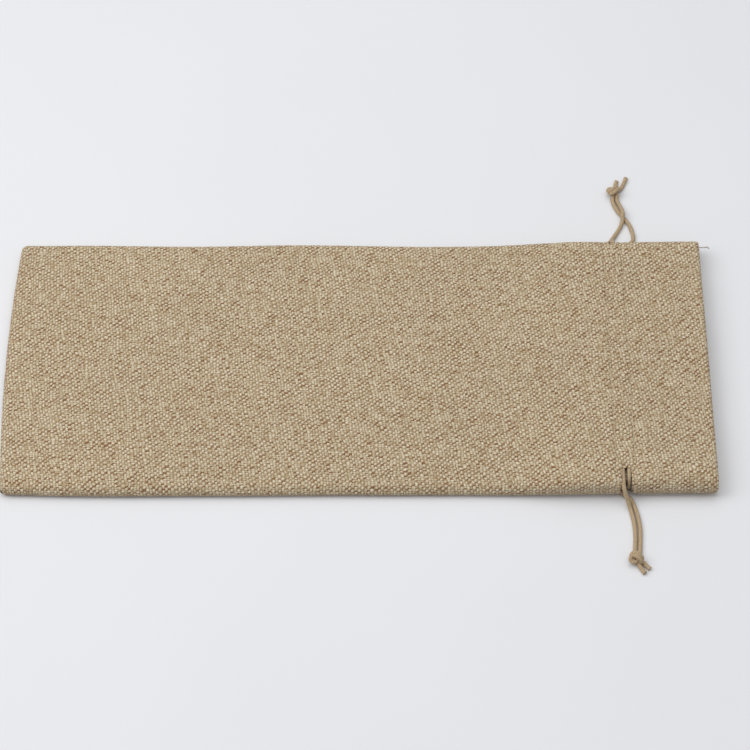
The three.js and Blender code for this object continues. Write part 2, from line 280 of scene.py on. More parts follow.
def woven_cloth():
    """Plain weave of two-tone yarns: cream ones along the bag over tan and rust ones across it."""
    look = Look("woven_cloth", roughness=0.9, sheen=0.15)
    u, v = look.pattern_place()
    i = (u + 0.5).floor()
    j = (v + 0.5).floor()
    along_height, across_height = yarn_heights(look, u, v, i, j)
    height = along_height.at_least(across_height)
    on_top = ((along_height - across_height) * 2.5 + 0.5).at_most(1).at_least(0)

    along_tone = look.noise(look.point(u * 1.3, j * 7.31), 1.0)
    across_tone = look.noise(look.point(i * 5.17, v * 1.3, 3.0), 1.0)
    along_colour = look.ramp(along_tone, (0.30, TAN), (0.40, SAND), (0.50, CREAM), (0.62, PALE))
    across_colour = look.ramp(across_tone, (0.40, RUST), (0.50, TAN), (0.65, CREAM))
    colour = look.mix(on_top, across_colour, along_colour)

    wear = look.noise(look.point(u * 0.03, v * 0.03, 7.0), 1.0)
    colour = look.mix(0.3, colour, look.ramp(wear, (0.3, WEAR_SHADE), (0.7, WHITE)), "MULTIPLY")
    fibre = look.noise(look.point(u * 5, v * 5, 1.0), 1.0, detail=3.0)
    colour = look.mix(0.7, colour, look.ramp(fibre, (0.32, FIBRE_SHADE), (0.62, WHITE)), "MULTIPLY")
    # Painted shade: the lower the yarns' surface, the nearer the colour goes to near-black, as if shade fell
    # into the gaps between yarns
    colour = look.mix(look.ramp(height, (0.3, WHITE), (1.0, BLACK)), colour, PAINTED_GAP_SHADE)
    # Painted shade: colour darkened towards the grooves halfway between the yarns across, where shade would
    # fall
    painted_groove_mask = (u * (2 * math.pi)).cos() * -0.5 + 0.5
    colour = look.mix(painted_groove_mask * 0.42, colour, PAINTED_GROOVE_SHADE, "MULTIPLY")
    return look.finish(colour, height + fibre * 0.3, depth=YARN_RADIUS * MM, strength=0.6)


BRAID_PITCH = 0.9  # one stitch of the braid along the cord
BRAID_COLUMNS = 8  # columns of slanted stitches round it
BRAID_SLANT = 0.7
BRAID_STEP = BRAID_PITCH / 4


def braid_height(u, v, floor, cos, root):
    """How far a braided cord's surface stands out, from 0 to 1, at u stitches along and v columns round.
    floor, cos and root are the functions for whichever kind of number u and v are."""
    column = floor(v)
    across = v - column - 0.5
    slant = cos(column * math.pi) * across * (2 * BRAID_SLANT)
    stitch = cos((u + slant) * (2 * math.pi)) * 0.5 + 0.5
    return root(stitch) * 0.65 + root(across * across * -3.2 + 1) * 0.35


def braided_cord():
    look = Look("braided_cord", roughness=0.55, sheen=0.15)
    u, v = look.pattern_place()
    height = braid_height(u, v, Term.floor, Term.cos, Term.root)
    tone = look.noise(look.point(u * 0.8, v * 1.3), 1.0)
    colour = look.ramp(tone, (0.3, (0.47, 0.335, 0.195)), (0.7, (0.69, 0.535, 0.345)))
    # Painted shade: the braid's low places, its grooves, are darkened towards dark brown, where shade would
    # fall
    painted_braid_shade_mask = look.ramp(height, (0.25, WHITE), (0.75, BLACK))
    colour = look.mix(painted_braid_shade_mask, colour, (0.16, 0.09, 0.04))
    fibre = look.noise(look.point(u * 5, v * 9), 2.0)
    return look.finish(colour, height + fibre * 0.2, depth=0.00018, strength=0.7)


def sewing_thread():
    look = Look("sewing_thread", roughness=0.6, sheen=0.1)
    place = look.new("ShaderNodeTexCoord").outputs["Object"]
    tone = look.noise(place, 900.0)
    colour = look.ramp(tone, (0.3, (0.46, 0.35, 0.22)), (0.7, (0.64, 0.53, 0.37)))
    twist = look.noise(place, 4000.0)
    return look.finish(colour, twist, depth=0.00006, strength=0.6)


def table_top():
    look = Look("table_top", roughness=0.75)
    place = look.new("ShaderNodeTexCoord").outputs["Object"]
    tone = look.noise(place, 6.0)
    colour = look.ramp(tone, (0.3, (0.80, 0.805, 0.828)), (0.7, (0.815, 0.82, 0.843)))
    return look.finish(colour)


# ---- meshes ----

class Patch:
    """Points in millimetres, faces of four corners, and a pair of pattern coordinates for each corner of each
    face."""

    def __init__(self, points, faces, uvs):
        self.points = points
        self.faces = faces
        self.uvs = uvs

    def __add__(self, other):
        return Patch(
            np.vstack([self.points, other.points]),
            np.vstack([self.faces, other.faces + len(self.points)]),
            np.vstack([self.uvs, other.uvs]),
        )

    def piece(self, name, material, slot):
        mesh = bpy.data.meshes.new(name)
        mesh.vertices.add(len(self.points))
        mesh.vertices.foreach_set("co", (self.points * MM).astype(np.float32).ravel())
        mesh.loops.add(self.faces.size)
        mesh.loops.foreach_set("vertex_index", self.faces.astype(np.int32).ravel())
        mesh.polygons.add(len(self.faces))
        mesh.polygons.foreach_set("loop_start", np.arange(0, self.faces.size, 4, dtype=np.int32))
        mesh.polygons.foreach_set("use_smooth", np.ones(len(self.faces), bool))
        layer = mesh.uv_layers.new(name="pattern")
        layer.data.foreach_set("uv", self.uvs.astype(np.float32).ravel())
        mesh.update(calc_edges=True)
        mesh.materials.append(material)
        made = bpy.data.objects.new(name, mesh)
        bpy.context.scene.collection.objects.link(made)
        return made


def grid(points, uv, wrap=False, keep=None, flip=False):
    """A Patch over points[column, row]. With wrap, its last row joins its first, and uv has one row more.
    keep says which cells stay."""
    columns, rows = points.shape[:2]
    uv_rows = uv.shape[1]
    c, r = np.meshgrid(np.arange(columns - 1), np.arange(uv_rows - 1), indexing="ij")
    if keep is not None:
        c, r = c[keep], r[keep]
    c, r = c.ravel(), r.ravel()
    corners = [(c, r), (c + 1, r), (c + 1, r + 1), (c, r + 1)]
    if flip:
        corners.reverse()
    faces = np.stack([a * rows + (b % rows if wrap else b) for a, b in corners], 1)
    uvs = np.stack([uv[a, b] for a, b in corners], 1).reshape(-1, 2)
    return Patch(points.reshape(-1, 3), faces, uvs)


# ---- the camera, the table and the light ----

def look_from(name, data, place, target):
    """Adds an object at place that looks at target, both in metres."""
    thing = bpy.data.objects.new(name, data)
    thing.location = place
    thing.rotation_euler = (Vector(target) - Vector(place)).to_track_quat("-Z", "Y").to_euler()
    bpy.context.scene.collection.objects.link(thing)
    return thing


def table():
    half = 3000  # in millimetres, as a Patch is
    corners = np.array([[(-half, -half, 0), (-half, half, 0)], [(half, -half, 0), (half, half, 0)]])
    grid(corners, corners[..., :2]).piece("table", table_top(), "cloth")


def camera():
    """The photograph's viewing angle and frame."""
    data = bpy.data.cameras.new("camera")
    data.sensor_width = 36
    data.lens = 132.08
    elevation = math.radians(55.13)
    distance = 1.3684
    x, y, z = target = (0.0092, -0.0060, 0.005)
    place = (x, y - distance * math.cos(elevation), z + distance * math.sin(elevation))
    bpy.context.scene.camera = look_from("camera", data, place, target)


def lamps():
    for name, place, size, power in (
        ("key", (-1.0, -0.05, 1.2), 0.9, 7.0),
        ("overhead", (-0.1, 0.3, 1.6), 1.8, 10.8),
    ):
        lamp = bpy.data.lights.new(name, "AREA")
        lamp.size = size
        lamp.energy = power
        look_from(name, lamp, place, (0, 0, 0))


def surroundings():
    """An even pale light from all round, stronger from above."""
    world = bpy.data.worlds.new("world")
    world.use_nodes = True
    tree = world.node_tree
    background = tree.nodes["Background"].inputs
    background["Color"].default_value = (0.98, 0.99, 1.0, 1)
    way = tree.nodes.new("ShaderNodeTexCoord")
    parts = tree.nodes.new("ShaderNodeSeparateXYZ")
    tree.links.new(way.outputs["Generated"], parts.inputs[0])
    upwards = Term(tree, parts.outputs["Z"]).at_least(0)
    strength = upwards * 0.5 + 0.18
    tree.links.new(strength.socket, background["Strength"])
    bpy.context.scene.world = world
    bpy.context.scene.view_settings.view_transform = "Standard"


def studio():
    table()
    camera()
    lamps()
    surroundings()


# ---- cords ----

LOOP_END_Y = WIDTH / 2 - 2.8  # how far from the bag's middle line a loop ends, inside its tails
FRAY_LENGTH = 1.2  # how much of a cut end opens out
CUT_END_FRAY = 0.15

# The free tails, from the slot to the knot, as in the CAD source
TAILS = {
    "near_front": [
        (129.0, -72.3, CORD_LEVEL), (129.0, -73.5, CORD_LEVEL - 0.1), (129.3, -75.6, 9.2),
        (130.0, -77.3, 7.3), (131.1, -79.2, 4.3), (132.1, -81.2, 2.0), (132.9, -84.0, 1.1),
        (133.9, -90.5, ON_TABLE), (134.1, -97.5, ON_TABLE), (133.6, -104.2, ON_TABLE),
        (133.4, -106.0, ON_TABLE),
    ],
    "near_back": [
        (129.0, -72.3, BACK_CORD_LEVEL), (129.0, -73.4, BACK_CORD_LEVEL - 0.1), (131.2, -75.3, 1.5),
        (133.3, -77.4, 1.1), (134.7, -81.4, ON_TABLE), (136.0, -87.2, ON_TABLE), (136.6, -94.5, ON_TABLE),
        (136.2, -101.0, ON_TABLE), (135.9, -106.0, ON_TABLE),
    ],
    "far_front": [
        (131.0, 72.3, CORD_LEVEL), (131.0, 73.5, CORD_LEVEL - 0.2), (130.8, 75.3, 8.7), (130.4, 76.7, 6.2),
        (130.2, 78.2, 3.7), (131.1, 80.7, 1.7), (133.1, 84.3, ON_TABLE), (135.7, 88.9, ON_TABLE),
        (137.3, 92.8, 1.6), (137.9, 96.8, 3.4), (137.6, 99.9, 2.9), (136.9, 103.2, 1.6),
        (135.5, 107.6, ON_TABLE),
    ],
    "far_back": [
        (131.0, 72.3, BACK_CORD_LEVEL), (131.0, 73.4, BACK_CORD_LEVEL - 0.1), (133.1, 75.4, 1.4),
        (136.2, 77.3, ON_TABLE), (140.0, 78.7, ON_TABLE), (142.4, 81.4, ON_TABLE), (142.6, 85.2, ON_TABLE),
        (141.1, 91.3, ON_TABLE), (138.8, 95.6, ON_TABLE), (135.6, 100.3, ON_TABLE), (133.7, 104.9, ON_TABLE),
        (133.1, 107.6, ON_TABLE),
    ],
}


def smooth_route(points, step):
    """Points a step apart on the smooth curve through these ones."""
    points = np.array(points, float)
    chord = np.r_[0, np.cumsum(np.sqrt(np.linalg.norm(np.diff(points, axis=0), axis=1)))]
    dense = []
    for i in range(len(points) - 1):
        before = max(i - 1, 0)
        after = min(i + 2, len(points) - 1)
        leave = (points[i + 1] - points[before]) / (chord[i + 1] - chord[before])
        arrive = (points[after] - points[i]) / (chord[after] - chord[i])
        span = chord[i + 1] - chord[i]
        for t in np.linspace(0, 1, 24, endpoint=i == len(points) - 2):
            from_start = (1 + 2 * t) * (1 - t) ** 2 * points[i] + t * (1 - t) ** 2 * span * leave
            to_end = t * t * (3 - 2 * t) * points[i + 1] + t * t * (t - 1) * span * arrive
            dense.append(from_start + to_end)
    return evenly(np.array(dense), step)


def distances(line):
    """How far along the line each of its points is."""
    return np.r_[0, np.cumsum(np.linalg.norm(np.diff(line, axis=0), axis=1))]


def evenly(line, step):
    """Points about a step apart along a line, the ends kept."""
    along = distances(line)
    places = np.linspace(0, along[-1], max(int(round(along[-1] / step)), 2) + 1)
    return np.stack([np.interp(places, along, line[:, k]) for k in range(3)], 1)


def line_length(line):
    return float(distances(line)[-1])


def carried_frames(line):
    """Two directions square to the line at each point, carried along it without twisting."""
    tangents = np.gradient(line, axis=0)
    tangents /= np.linalg.norm(tangents, axis=1)[:, None]
    upright = abs(tangents[0][2]) > 0.9
    start = np.array((1.0, 0, 0)) if upright else np.cross(tangents[0], (0, 0, 1))
    first = [start - tangents[0] * (start @ tangents[0])]
    for tangent in tangents[1:]:
        carried = first[-1] - tangent * (first[-1] @ tangent)
        first.append(carried / np.linalg.norm(carried))
    first = np.array(first)
    first[0] /= np.linalg.norm(first[0])
    return first, np.cross(tangents, first)


def rings_round(line, angles, radius):
    """The points at these angles and radii round each point of the line."""
    first, second = carried_frames(line)
    ways = np.cos(angles)[:, None] * first[:, None] + np.sin(angles)[:, None] * second[:, None]
    return line[:, None] + ways * radius[..., None]


def braid(line, start_at=0.0, fray=0.0):
    """A Patch of a braided cord along an evenly spaced line, closed at both ends. start_at is how much of the
    cord comes before, so that the braid runs on, and fray opens out its last stretch."""
    sides = BRAID_COLUMNS * 4
    along = distances(line)
    turn = np.arange(sides + 1) / sides
    u, v = np.meshgrid((along + start_at) / BRAID_PITCH, turn * BRAID_COLUMNS, indexing="ij")
    height = braid_height(u, v % BRAID_COLUMNS, np.floor, np.cos, lambda x: np.sqrt(np.maximum(x, 0)))
    radius = CORD / 2 * (0.93 + 0.14 * height)
    radius *= 1 + fray * np.clip(1 - (along[-1] - along) / FRAY_LENGTH, 0, 1)[:, None] ** 2
    rings = rings_round(line, turn * 2 * math.pi, radius)
    closing = np.array([0.02, 0.5, 0.85])[:, None, None]
    start = line[0] + (rings[0] - line[0]) * closing
    end = line[-1] + (rings[-1] - line[-1]) * closing[::-1]
    uv = np.stack([u, v], -1)
    uv = np.concatenate([np.repeat(uv[:1], 3, 0), uv, np.repeat(uv[-1:], 3, 0)])
    rings = np.concatenate([start, rings, end])
    return grid(rings[:, :-1], uv, wrap=True)


def free_tail(side, face, material):
    """One strand from the slot to the knot."""
    name = f"{side}_cord_{face}_tail"
    line = smooth_route(TAILS[f"{side}_{face}"], BRAID_STEP)
    piece = braid(line).piece(f"{name}_braid", material, "cord")
    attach(piece, OWN_CORD[side])
    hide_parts(name)
    print(f"{name}: {line_length(line):.1f} mm")


def channel_loop(side, material):
    """The stretch inside the channel: along the front, round at the other slot and back along the back."""
    sign = SIDES[side]
    end_x = CORD_EXIT_X[side]
    end_y = sign * LOOP_END_Y
    middle = NECK_HEIGHT / 2
    radius = (CORD_LEVEL - BACK_CORD_LEVEL) / 2
    points = [(end_x, end_y, CORD_LEVEL)]
    for angle in np.linspace(0, math.pi, 24):
        y = -sign * (LOOP_TURN_Y + radius * math.sin(angle))
        points.append((CORD_TURN_X[side], y, middle + radius * math.cos(angle)))
    points.append((end_x, end_y, BACK_CORD_LEVEL))
    line = evenly(np.array(points), BRAID_STEP)
    piece = braid(line).piece(f"{side}_cord_loop_braid", material, "cord")
    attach(piece, OWN_CORD[side])
    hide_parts(f"{side}_cord_loop")


# Where each cord's two cut ends lie beyond its knot, as in the CAD source
CUT_ENDS = {
    "near": [
        [(135.3, -114.4, 1.3), (136.2, -116.0, ON_TABLE), (137.6, -118.1, ON_TABLE)],
        [(137.4, -112.6, 1.3), (138.5, -114.0, ON_TABLE), (140.0, -115.7, ON_TABLE)],
    ],
    "far": [
        [(137.2, 114.8, 1.3), (139.0, 117.6, ON_TABLE), (140.9, 122.6, ON_TABLE)],
        [(134.6, 116.1, 1.3), (135.1, 118.0, ON_TABLE), (135.9, 120.4, ON_TABLE)],
    ],
}

# How the two strands wind through a knot, side by side: under it from the tails, round its left, over its top
# and down its right to the cut ends. Each place is across, along and up from the knot's middle.
KNOT_TURNS = [
    [
        (-1.0, -0.2, -0.5), (-1.5, 1.5, -0.2), (-2.4, 1.2, 0.2), (-2.6, -0.4, 0.6),
        (-1.9, -1.3, 1.4), (-0.6, -1.3, 1.9), (0.9, -0.7, 1.9), (2.2, -0.1, 1.0),
        (2.5, 0.2, -0.3), (1.9, 0.8, -1.4), (1.3, 2.0, -1.7),
    ],
    [
        (0.9, -0.2, -0.5), (0.2, 2.1, -0.3), (-1.5, 2.9, -0.2), (-2.7, 1.9, 0.3),
        (-2.5, 0.7, 1.2), (-1.7, 0.4, 1.8), (-0.5, 0.6, 2.0), (1.0, 1.2, 1.8),
        (2.2, 1.7, 0.8), (2.4, 1.8, -0.3), (1.7, 1.8, -1.2),
    ],
]
KNOT_LEAN = {"near": math.radians(-12), "far": math.radians(27)}  # how far it is turned on the table
# The tail and the cut end that each of those turns joins
KNOT_JOINS = {"near": (("front", 0), ("back", 1)), "far": (("back", 1), ("front", 0))}


def knot(side, material):
    """Both strands tied together in an overhand knot, with their cut ends."""
    low, high = node_box(f"{side}_cord_knot")
    middle = (low + high) / 2
    lean = KNOT_LEAN[side]
    across_way = np.array((math.cos(lean), math.sin(lean), 0))
    along_way = np.array((-math.sin(lean), math.cos(lean), 0)) * SIDES[side]
    patches = []
    for turns, (face, end) in zip(KNOT_TURNS, KNOT_JOINS[side]):
        tail = TAILS[f"{side}_{face}"]
        places = [middle + across_way * a + along_way * b + (0, 0, up) for a, b, up in turns]
        line = smooth_route([tail[-1], *places, *CUT_ENDS[side][end]], BRAID_STEP)
        before = line_length(smooth_route(tail, BRAID_STEP))
        patches.append(braid(line, start_at=before, fray=CUT_END_FRAY))
    piece = joined(patches).piece(f"{side}_cord_tied_knot", material, "cord")
    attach(piece, OWN_CORD[side])
    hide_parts(f"{side}_cord_knot", f"{side}_cord_end_a", f"{side}_cord_end_b")
    return piece


# ---- the cloth's shape ----

# The radius in which the cloth turns down to its seam, along the body and past the slots
ROUND = {("near", "front"): 3.3, ("far", "front"): 5.5, ("near", "back"): 1.0, ("far", "back"): 1.0}
RUFFLE_ROUND = {**ROUND, ("near", "front"): 6.0}
LEAST_ROUND = 0.4
EDGE_LIFT = (1.4, 3.2)  # how far the back cloth's edges are off the table, along the body and at the neck
EDGE_LIFT_FROM = (WIDTH / 2 - 5, WIDTH / 2 - 0.5)
BOTTOM_ROUND = 3.0
HALF_CLOTH = WIDTH / 2 + NECK_HEIGHT / 2 - BOTTOM_ROUND * (2 - math.pi / 2)  # from the middle to a side seam
BOTTOM_TURN = EDGE_HEIGHT / 2 + BOTTOM_ROUND * (math.pi / 2 - 1)
FOLD_RADIUS = HEM_DEPTH / 2
FAR_SAG = 0.8  # how much lower the neck lies along its far side
SIDE_WANDER = 0.7  # how far the bag's two sides stray from straight
STITCH = 3.2  # the length of a channel stitch
ROWS_START_Y = 0.2
ROW_DIP = 0.7  # how far a row of them pulls the cloth in, and over what width
ROW_DIP_WIDTH = 0.8
FRONT_SEED = 1.0
BACK_SEED = 11.0
SIDE_SEED = 21.0
ACROSS_SEED = 31.0
ALONG_SEED = 41.0


def smooth(start, stop, value):
    t = np.clip((value - start) / (stop - start), 0, 1)
    return t * t * (3 - 2 * t)


def edge_height(x):
    return EDGE_HEIGHT + (NECK_HEIGHT - EDGE_HEIGHT) * smooth(*NECK_RISE, x)


def top_height(x, y):
    middle = BODY_HEIGHT + (NECK_HEIGHT - BODY_HEIGHT) * smooth(*NECK_RISE, x)
    across = 1 - np.abs(y / (WIDTH / 2)) ** 4
    sag = FAR_SAG * smooth(20, WIDTH / 2, y) * smooth(*NECK_RISE, x)
    along = 1 - np.clip(-x / (LENGTH / 2), 0, 1) ** 6
    return edge_height(x) + (middle - edge_height(x)) * across * along - sag


def waves(x, y, length, seed):
    """Smooth unevenness from about -1 to 1, length across, as an array like x."""
    step = length / 6
    xs = np.arange(x.min() - step, x.max() + 2 * step, step)
    ys = np.arange(y.min() - step, y.max() + 2 * step, step)
    samples = np.array([[noise.noise(Vector((a / length, b / length, seed))) for b in ys] for a in xs])
    i = (x - xs[0]) / step
    j = (y - ys[0]) / step
    i0 = np.clip(i.astype(int), 0, len(xs) - 2)
    j0 = np.clip(j.astype(int), 0, len(ys) - 2)
    s = smooth(0, 1, i - i0)
    t = smooth(0, 1, j - j0)
    low = samples[i0, j0] * (1 - t) + samples[i0, j0 + 1] * t
    high = samples[i0 + 1, j0] * (1 - t) + samples[i0 + 1, j0 + 1] * t
    return (low * (1 - s) + high * s) * 1.8


def turned_down(along, radius, drop):
    """How far out and how far down cloth goes, both as shares from 0 to 1, at a distance along its turn: a
    round edge and then an upright wall that is drop high in all."""
    angle = np.clip(along / radius, 0, math.pi / 2)
    down = radius * (1 - np.cos(angle)) + np.maximum(along - radius * math.pi / 2, 0)
    return np.sin(angle), np.clip(down / drop, 0, 1)


def channel_dip(x, y):
    """How far the stitching pulls the cloth in along the channel's two rows, most at each stitch's ends."""
    pull = 0.75 + 0.25 * np.cos(y * 2 * math.pi / STITCH)
    rows = sum(np.exp(-((x - row) / ROW_DIP_WIDTH) ** 2) for row in (LOWER_ROW_X, UPPER_ROW_X))
    return ROW_DIP * pull * rows


def unevenness(x, y, face):
    """How far the lying cloth's face stands above its even shape."""
    seed = FRONT_SEED if face == "front" else BACK_SEED
    calm = np.clip((WIDTH / 2 - np.abs(y)) / 12, 0.25, 1)
    in_channel = smooth(HEM_EDGE_X - 8, LOWER_ROW_X, x) * (1 - smooth(UPPER_ROW_X, UPPER_ROW_X + 10, x))
    soft = 0.55 * waves(x, y, 60, seed) + 0.28 * waves(x, y, 17, seed + 1)
    return soft * calm * (1 - 0.75 * in_channel)


def face_height(x, y, face):
    """The height of the lying cloth's outer face; y is negative on the near side."""
    if face == "front":
        return top_height(x, y) + unevenness(x, y, face) - channel_dip(x, y)
    lift = EDGE_LIFT[0] + (EDGE_LIFT[1] - EDGE_LIFT[0]) * smooth(*NECK_RISE, x)
    lift = lift * smooth(*EDGE_LIFT_FROM, np.abs(y))
    return 0.15 + 0.12 * (unevenness(x, y, face) + 1) + 0.5 * channel_dip(x, y) + lift


def side_turn(x, face, side):
    """The radius in which the cloth turns down at its side, and how far from the middle that starts."""
    seam = edge_height(x) / 2
    body = ROUND[side, face]
    ruffle = RUFFLE_ROUND[side, face]
    slot_start, slot_stop = SLOT_X["near"]
    full = np.minimum(body + (ruffle - body) * smooth(slot_start, slot_stop + 6, x), seam)
    return full, HALF_CLOTH - (seam + full * (math.pi / 2 - 1))


def lay(x, turn_x, t, depth, face, side):
    """Where the cloth lies. x is along the bag, turn_x how far it has turned down at the bottom, t the
    cloth's own distance from the bag's middle line, and depth how far in from the outer face it is."""
    seam = edge_height(x) / 2
    full, flat = side_turn(x, face, side)
    radius = np.maximum(full - depth, LEAST_ROUND)
    out_x, down_x = turned_down(turn_x, BOTTOM_ROUND, EDGE_HEIGHT / 2)
    out_y, down_y = turned_down(np.maximum(t - flat, 0), full, seam)
    inset = depth * np.clip(np.abs(depth) / HEM_DEPTH, 0, 1)
    y = np.minimum(t / flat, 1) * (WIDTH / 2 - inset - radius)
    y = y + radius * out_y * np.sqrt(1 - out_x ** 2 / 2)
    x = x - BOTTOM_ROUND * out_x * np.sqrt(1 - out_y ** 2 / 2)
    stray = waves(x, y * 0 + SIDES[side] * 50, 70, SIDE_SEED)
    y = y + SIDE_WANDER * stray * (y / (WIDTH / 2)) ** 3
    rise = (1 - down_x) * (1 - down_y)
    inwards = -depth if face == "front" else depth
    z = seam + (face_height(x, SIDES[side] * y, face) + inwards - seam) * rise
    bow = BOTTOM_BOW * (y / (WIDTH / 2)) ** 2 * np.clip(-x / (LENGTH / 2), 0, 1) ** 3
    return np.stack([x + bow, SIDES[side] * y, z], -1)


FOLD_X = MOUTH_X - FOLD_RADIUS - 0.1
FOLD_AT = BOTTOM_TURN + FOLD_X + LENGTH / 2 - BOTTOM_ROUND  # how far along the cloth the mouth's fold starts
CLOTH_LENGTH = FOLD_AT + math.pi * FOLD_RADIUS + FOLD_X - HEM_EDGE_X


def route_along(s):
    """(x, turn_x, depth) at distance s along the cloth from the bottom seam: up the bottom's turn, along the
    bag, round the fold at the mouth and back along the hem."""
    turn = np.clip((s - FOLD_AT) / FOLD_RADIUS, 0, math.pi)
    x = np.clip(FOLD_X + s - FOLD_AT, BOTTOM_ROUND - LENGTH / 2, FOLD_X)
    x = x + FOLD_RADIUS * np.sin(turn) - np.maximum(s - FOLD_AT - math.pi * FOLD_RADIUS, 0)
    return x, np.maximum(BOTTOM_TURN - s, 0), FOLD_RADIUS * (1 - np.cos(turn))


def weave_height(u, v):
    """How far the yarns stand out of the cloth at u and v yarns along and across, in millimetres."""
    i = np.floor(u + 0.5)
    j = np.floor(v + 0.5)
    turn_i = np.cos(i * math.pi)
    turn_j = np.cos(j * math.pi)
    lean_along = v - j - FLOAT_LEAN * np.sin(u * math.pi) * turn_j
    lean_across = u - i + FLOAT_LEAN * np.sin(v * math.pi) * turn_i
    along = YARN_WAVE * np.cos(u * math.pi) * turn_j
    across = -YARN_WAVE * np.cos(v * math.pi) * turn_i
    round_along = YARN_RADIUS * np.sqrt(np.maximum(1 - (YARN_ROUND * lean_along) ** 2, 0))
    round_across = YARN_RADIUS * np.sqrt(np.maximum(1 - (YARN_ROUND * lean_across) ** 2, 0))
    return np.maximum(along + round_along, across + round_across) - YARN_RADIUS


def gather_weight(x, y):
    """How far a place on the neck follows the cord that draws it in: all the way at the channel's ends."""
    along = smooth(5, 124, x) * (1 - 0.2 * smooth(138, MOUTH_X, x))
    return along * np.minimum(np.abs(y) / SLOT_INNER_Y * 1.02, 1)


def gathered(piece, side):
    channel_x = 0.13
    channel_end = (channel_x, SIDES[side] * SLOT_INNER_Y * MM, 0)
    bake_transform(piece)
    places = np.empty(len(piece.data.vertices) * 3, np.float32)
    piece.data.vertices.foreach_get("co", places)
    x, y, _ = places.reshape(-1, 3).T / MM
    gather_weight(x, y).astype(np.float32)


def slot_distance(x, y, outer, side, face):
    """How far each place is from the slot's opening, 0 inside it. outer is true in the outer cloth and false
    in the hem."""
    start = np.where(outer, SLOT_X[side][0], HEM_SLOT_X[side][0])
    stop = np.where(outer, SLOT_X[side][1], HEM_SLOT_X[side][1])
    along = np.maximum(np.maximum(start - x, x - stop), 0)
    across = np.maximum(np.where(outer, SLOT_Y[side, face], HEM_SLOT_Y) - np.abs(y), 0)
    return np.hypot(along, across)


# A yarn end that has come loose at the far corner of the mouth
LOOSE_YARN = [
    (173.6, 69.9, 11.0), (175.3, 69.7, 10.4), (177.6, 70.6, 9.2), (179.6, 72.4, 7.2), (180.9, 72.9, 5.0),
]


def yarn_places(s, t, side, face):
    """u and v: how many yarns along the bag and across it each place of the cloth is. The yarns across lean,
    and both sets wander a little."""
    sign = SIDES[side]
    low_skew, high_skew = SKEW_ACROSS
    skew = low_skew + (high_skew - low_skew) * smooth(0, LENGTH, s)
    _, turn_from = side_turn(route_along(s)[0], face, side)
    lean = skew * sign * np.minimum(t, turn_from)
    stray_u = sum(far * waves(s, sign * t, length, ACROSS_SEED) for length, far in WANDER)
    stray_v = sum(far * waves(s, sign * t, length, ALONG_SEED) for length, far in WANDER)
    return (s + lean) / YARN_X + stray_u, (sign * t - SKEW_ALONG * s) / YARN_Y + stray_v


def normals(points):
    """The way square to a grid of points at each of them."""
    square = np.cross(np.gradient(points, axis=0), np.gradient(points, axis=1))
    return square / np.maximum(np.linalg.norm(square, axis=2), 1e-9)[..., None]


def rims(points, inner, uv, keep, flip):
    """Turns the cloth's cut and folded edges in by its own thickness, all but the middle line. keep says
    which cells the cloth has, and a rim starts wherever a kept cell's neighbour isn't kept."""
    columns, rows = points.shape[:2]
    padded = np.zeros((columns + 1, rows + 1), bool)
    padded[1:-1, 1:-1] = keep
    starts = []
    stops = []
    for axis in (0, 1):
        for step in (1, -1):
            column, row = np.argwhere(padded & ~np.roll(padded, -step, axis)).T - 1
            past = int(step > 0)
            if axis == 0:
                a = np.stack([column + past, row])
                b = np.stack([column + past, row + 1])
            else:
                a = np.stack([column, row + past])
                b = np.stack([column + 1, row + past])
            off_middle = a[1] + b[1] > 0
            if (axis == 0) == (step < 0):
                a, b = b, a
            starts.append(a[:, off_middle])
            stops.append(b[:, off_middle])
    a = tuple(np.concatenate(starts, 1))
    b = tuple(np.concatenate(stops, 1))
    corners = np.stack([points[a], inner[a], inner[b], points[b]], 1)
    uvs = np.stack([uv[a], uv[a], uv[b], uv[b]], 1)
    faces = np.arange(len(a[0]) * 4).reshape(-1, 4)
    if flip:
        faces = faces[:, ::-1]
        uvs = uvs[:, ::-1]
    return Patch(corners.reshape(-1, 3), faces, uvs.reshape(-1, 2))


def drop_loose(piece):
    """Removes the points that no face uses and joins the rims to the cloth."""
    work = bmesh.new()
    work.from_mesh(piece.data)
    bmesh.ops.delete(work, geom=[p for p in work.verts if not p.link_faces], context="VERTS")
    bmesh.ops.remove_doubles(work, verts=[p for p in work.verts if p.is_boundary], dist=1e-7)
    work.to_mesh(piece.data)
    work.free()


def cloth_patch(side, face):
    """Half of the front or back cloth as a Patch, cut open at the slot."""
    columns = int(round(CLOTH_LENGTH / GRID_STEP)) + 1
    rows = int(round(HALF_CLOTH / GRID_STEP)) + 1
    s, t = np.meshgrid(np.linspace(0, CLOTH_LENGTH, columns), np.linspace(0, HALF_CLOTH, rows), indexing="ij")
    u, v = yarn_places(s, t, side, face)
    x, turn_x, depth = route_along(s)
    outer = depth < FOLD_RADIUS
    base = lay(x, turn_x, t, depth, face, side)
    inner = lay(x, turn_x, t, depth + np.where(outer, CLOTH, -CLOTH), face, side)
    outward = SIDES[side] * (1 if face == "front" else -1)

    from_slot = slot_distance(x, base[..., 1], outer, side, face)
    lift = weave_height(u, v) - outer * SLOT_TUCK * np.exp(-(from_slot / SLOT_TUCK_WIDTH) ** 2)
    points = base + normals(base) * outward * lift[..., None]
    uv = np.stack([u, v], -1)

    in_slot = from_slot < GRID_STEP * 0.4
    keep = ~(in_slot[:-1, :-1] & in_slot[1:, :-1] & in_slot[:-1, 1:] & in_slot[1:, 1:])
    outer_face = grid(points, uv, keep=keep, flip=outward < 0)
    return outer_face + rims(points, inner, uv, keep, outward < 0)


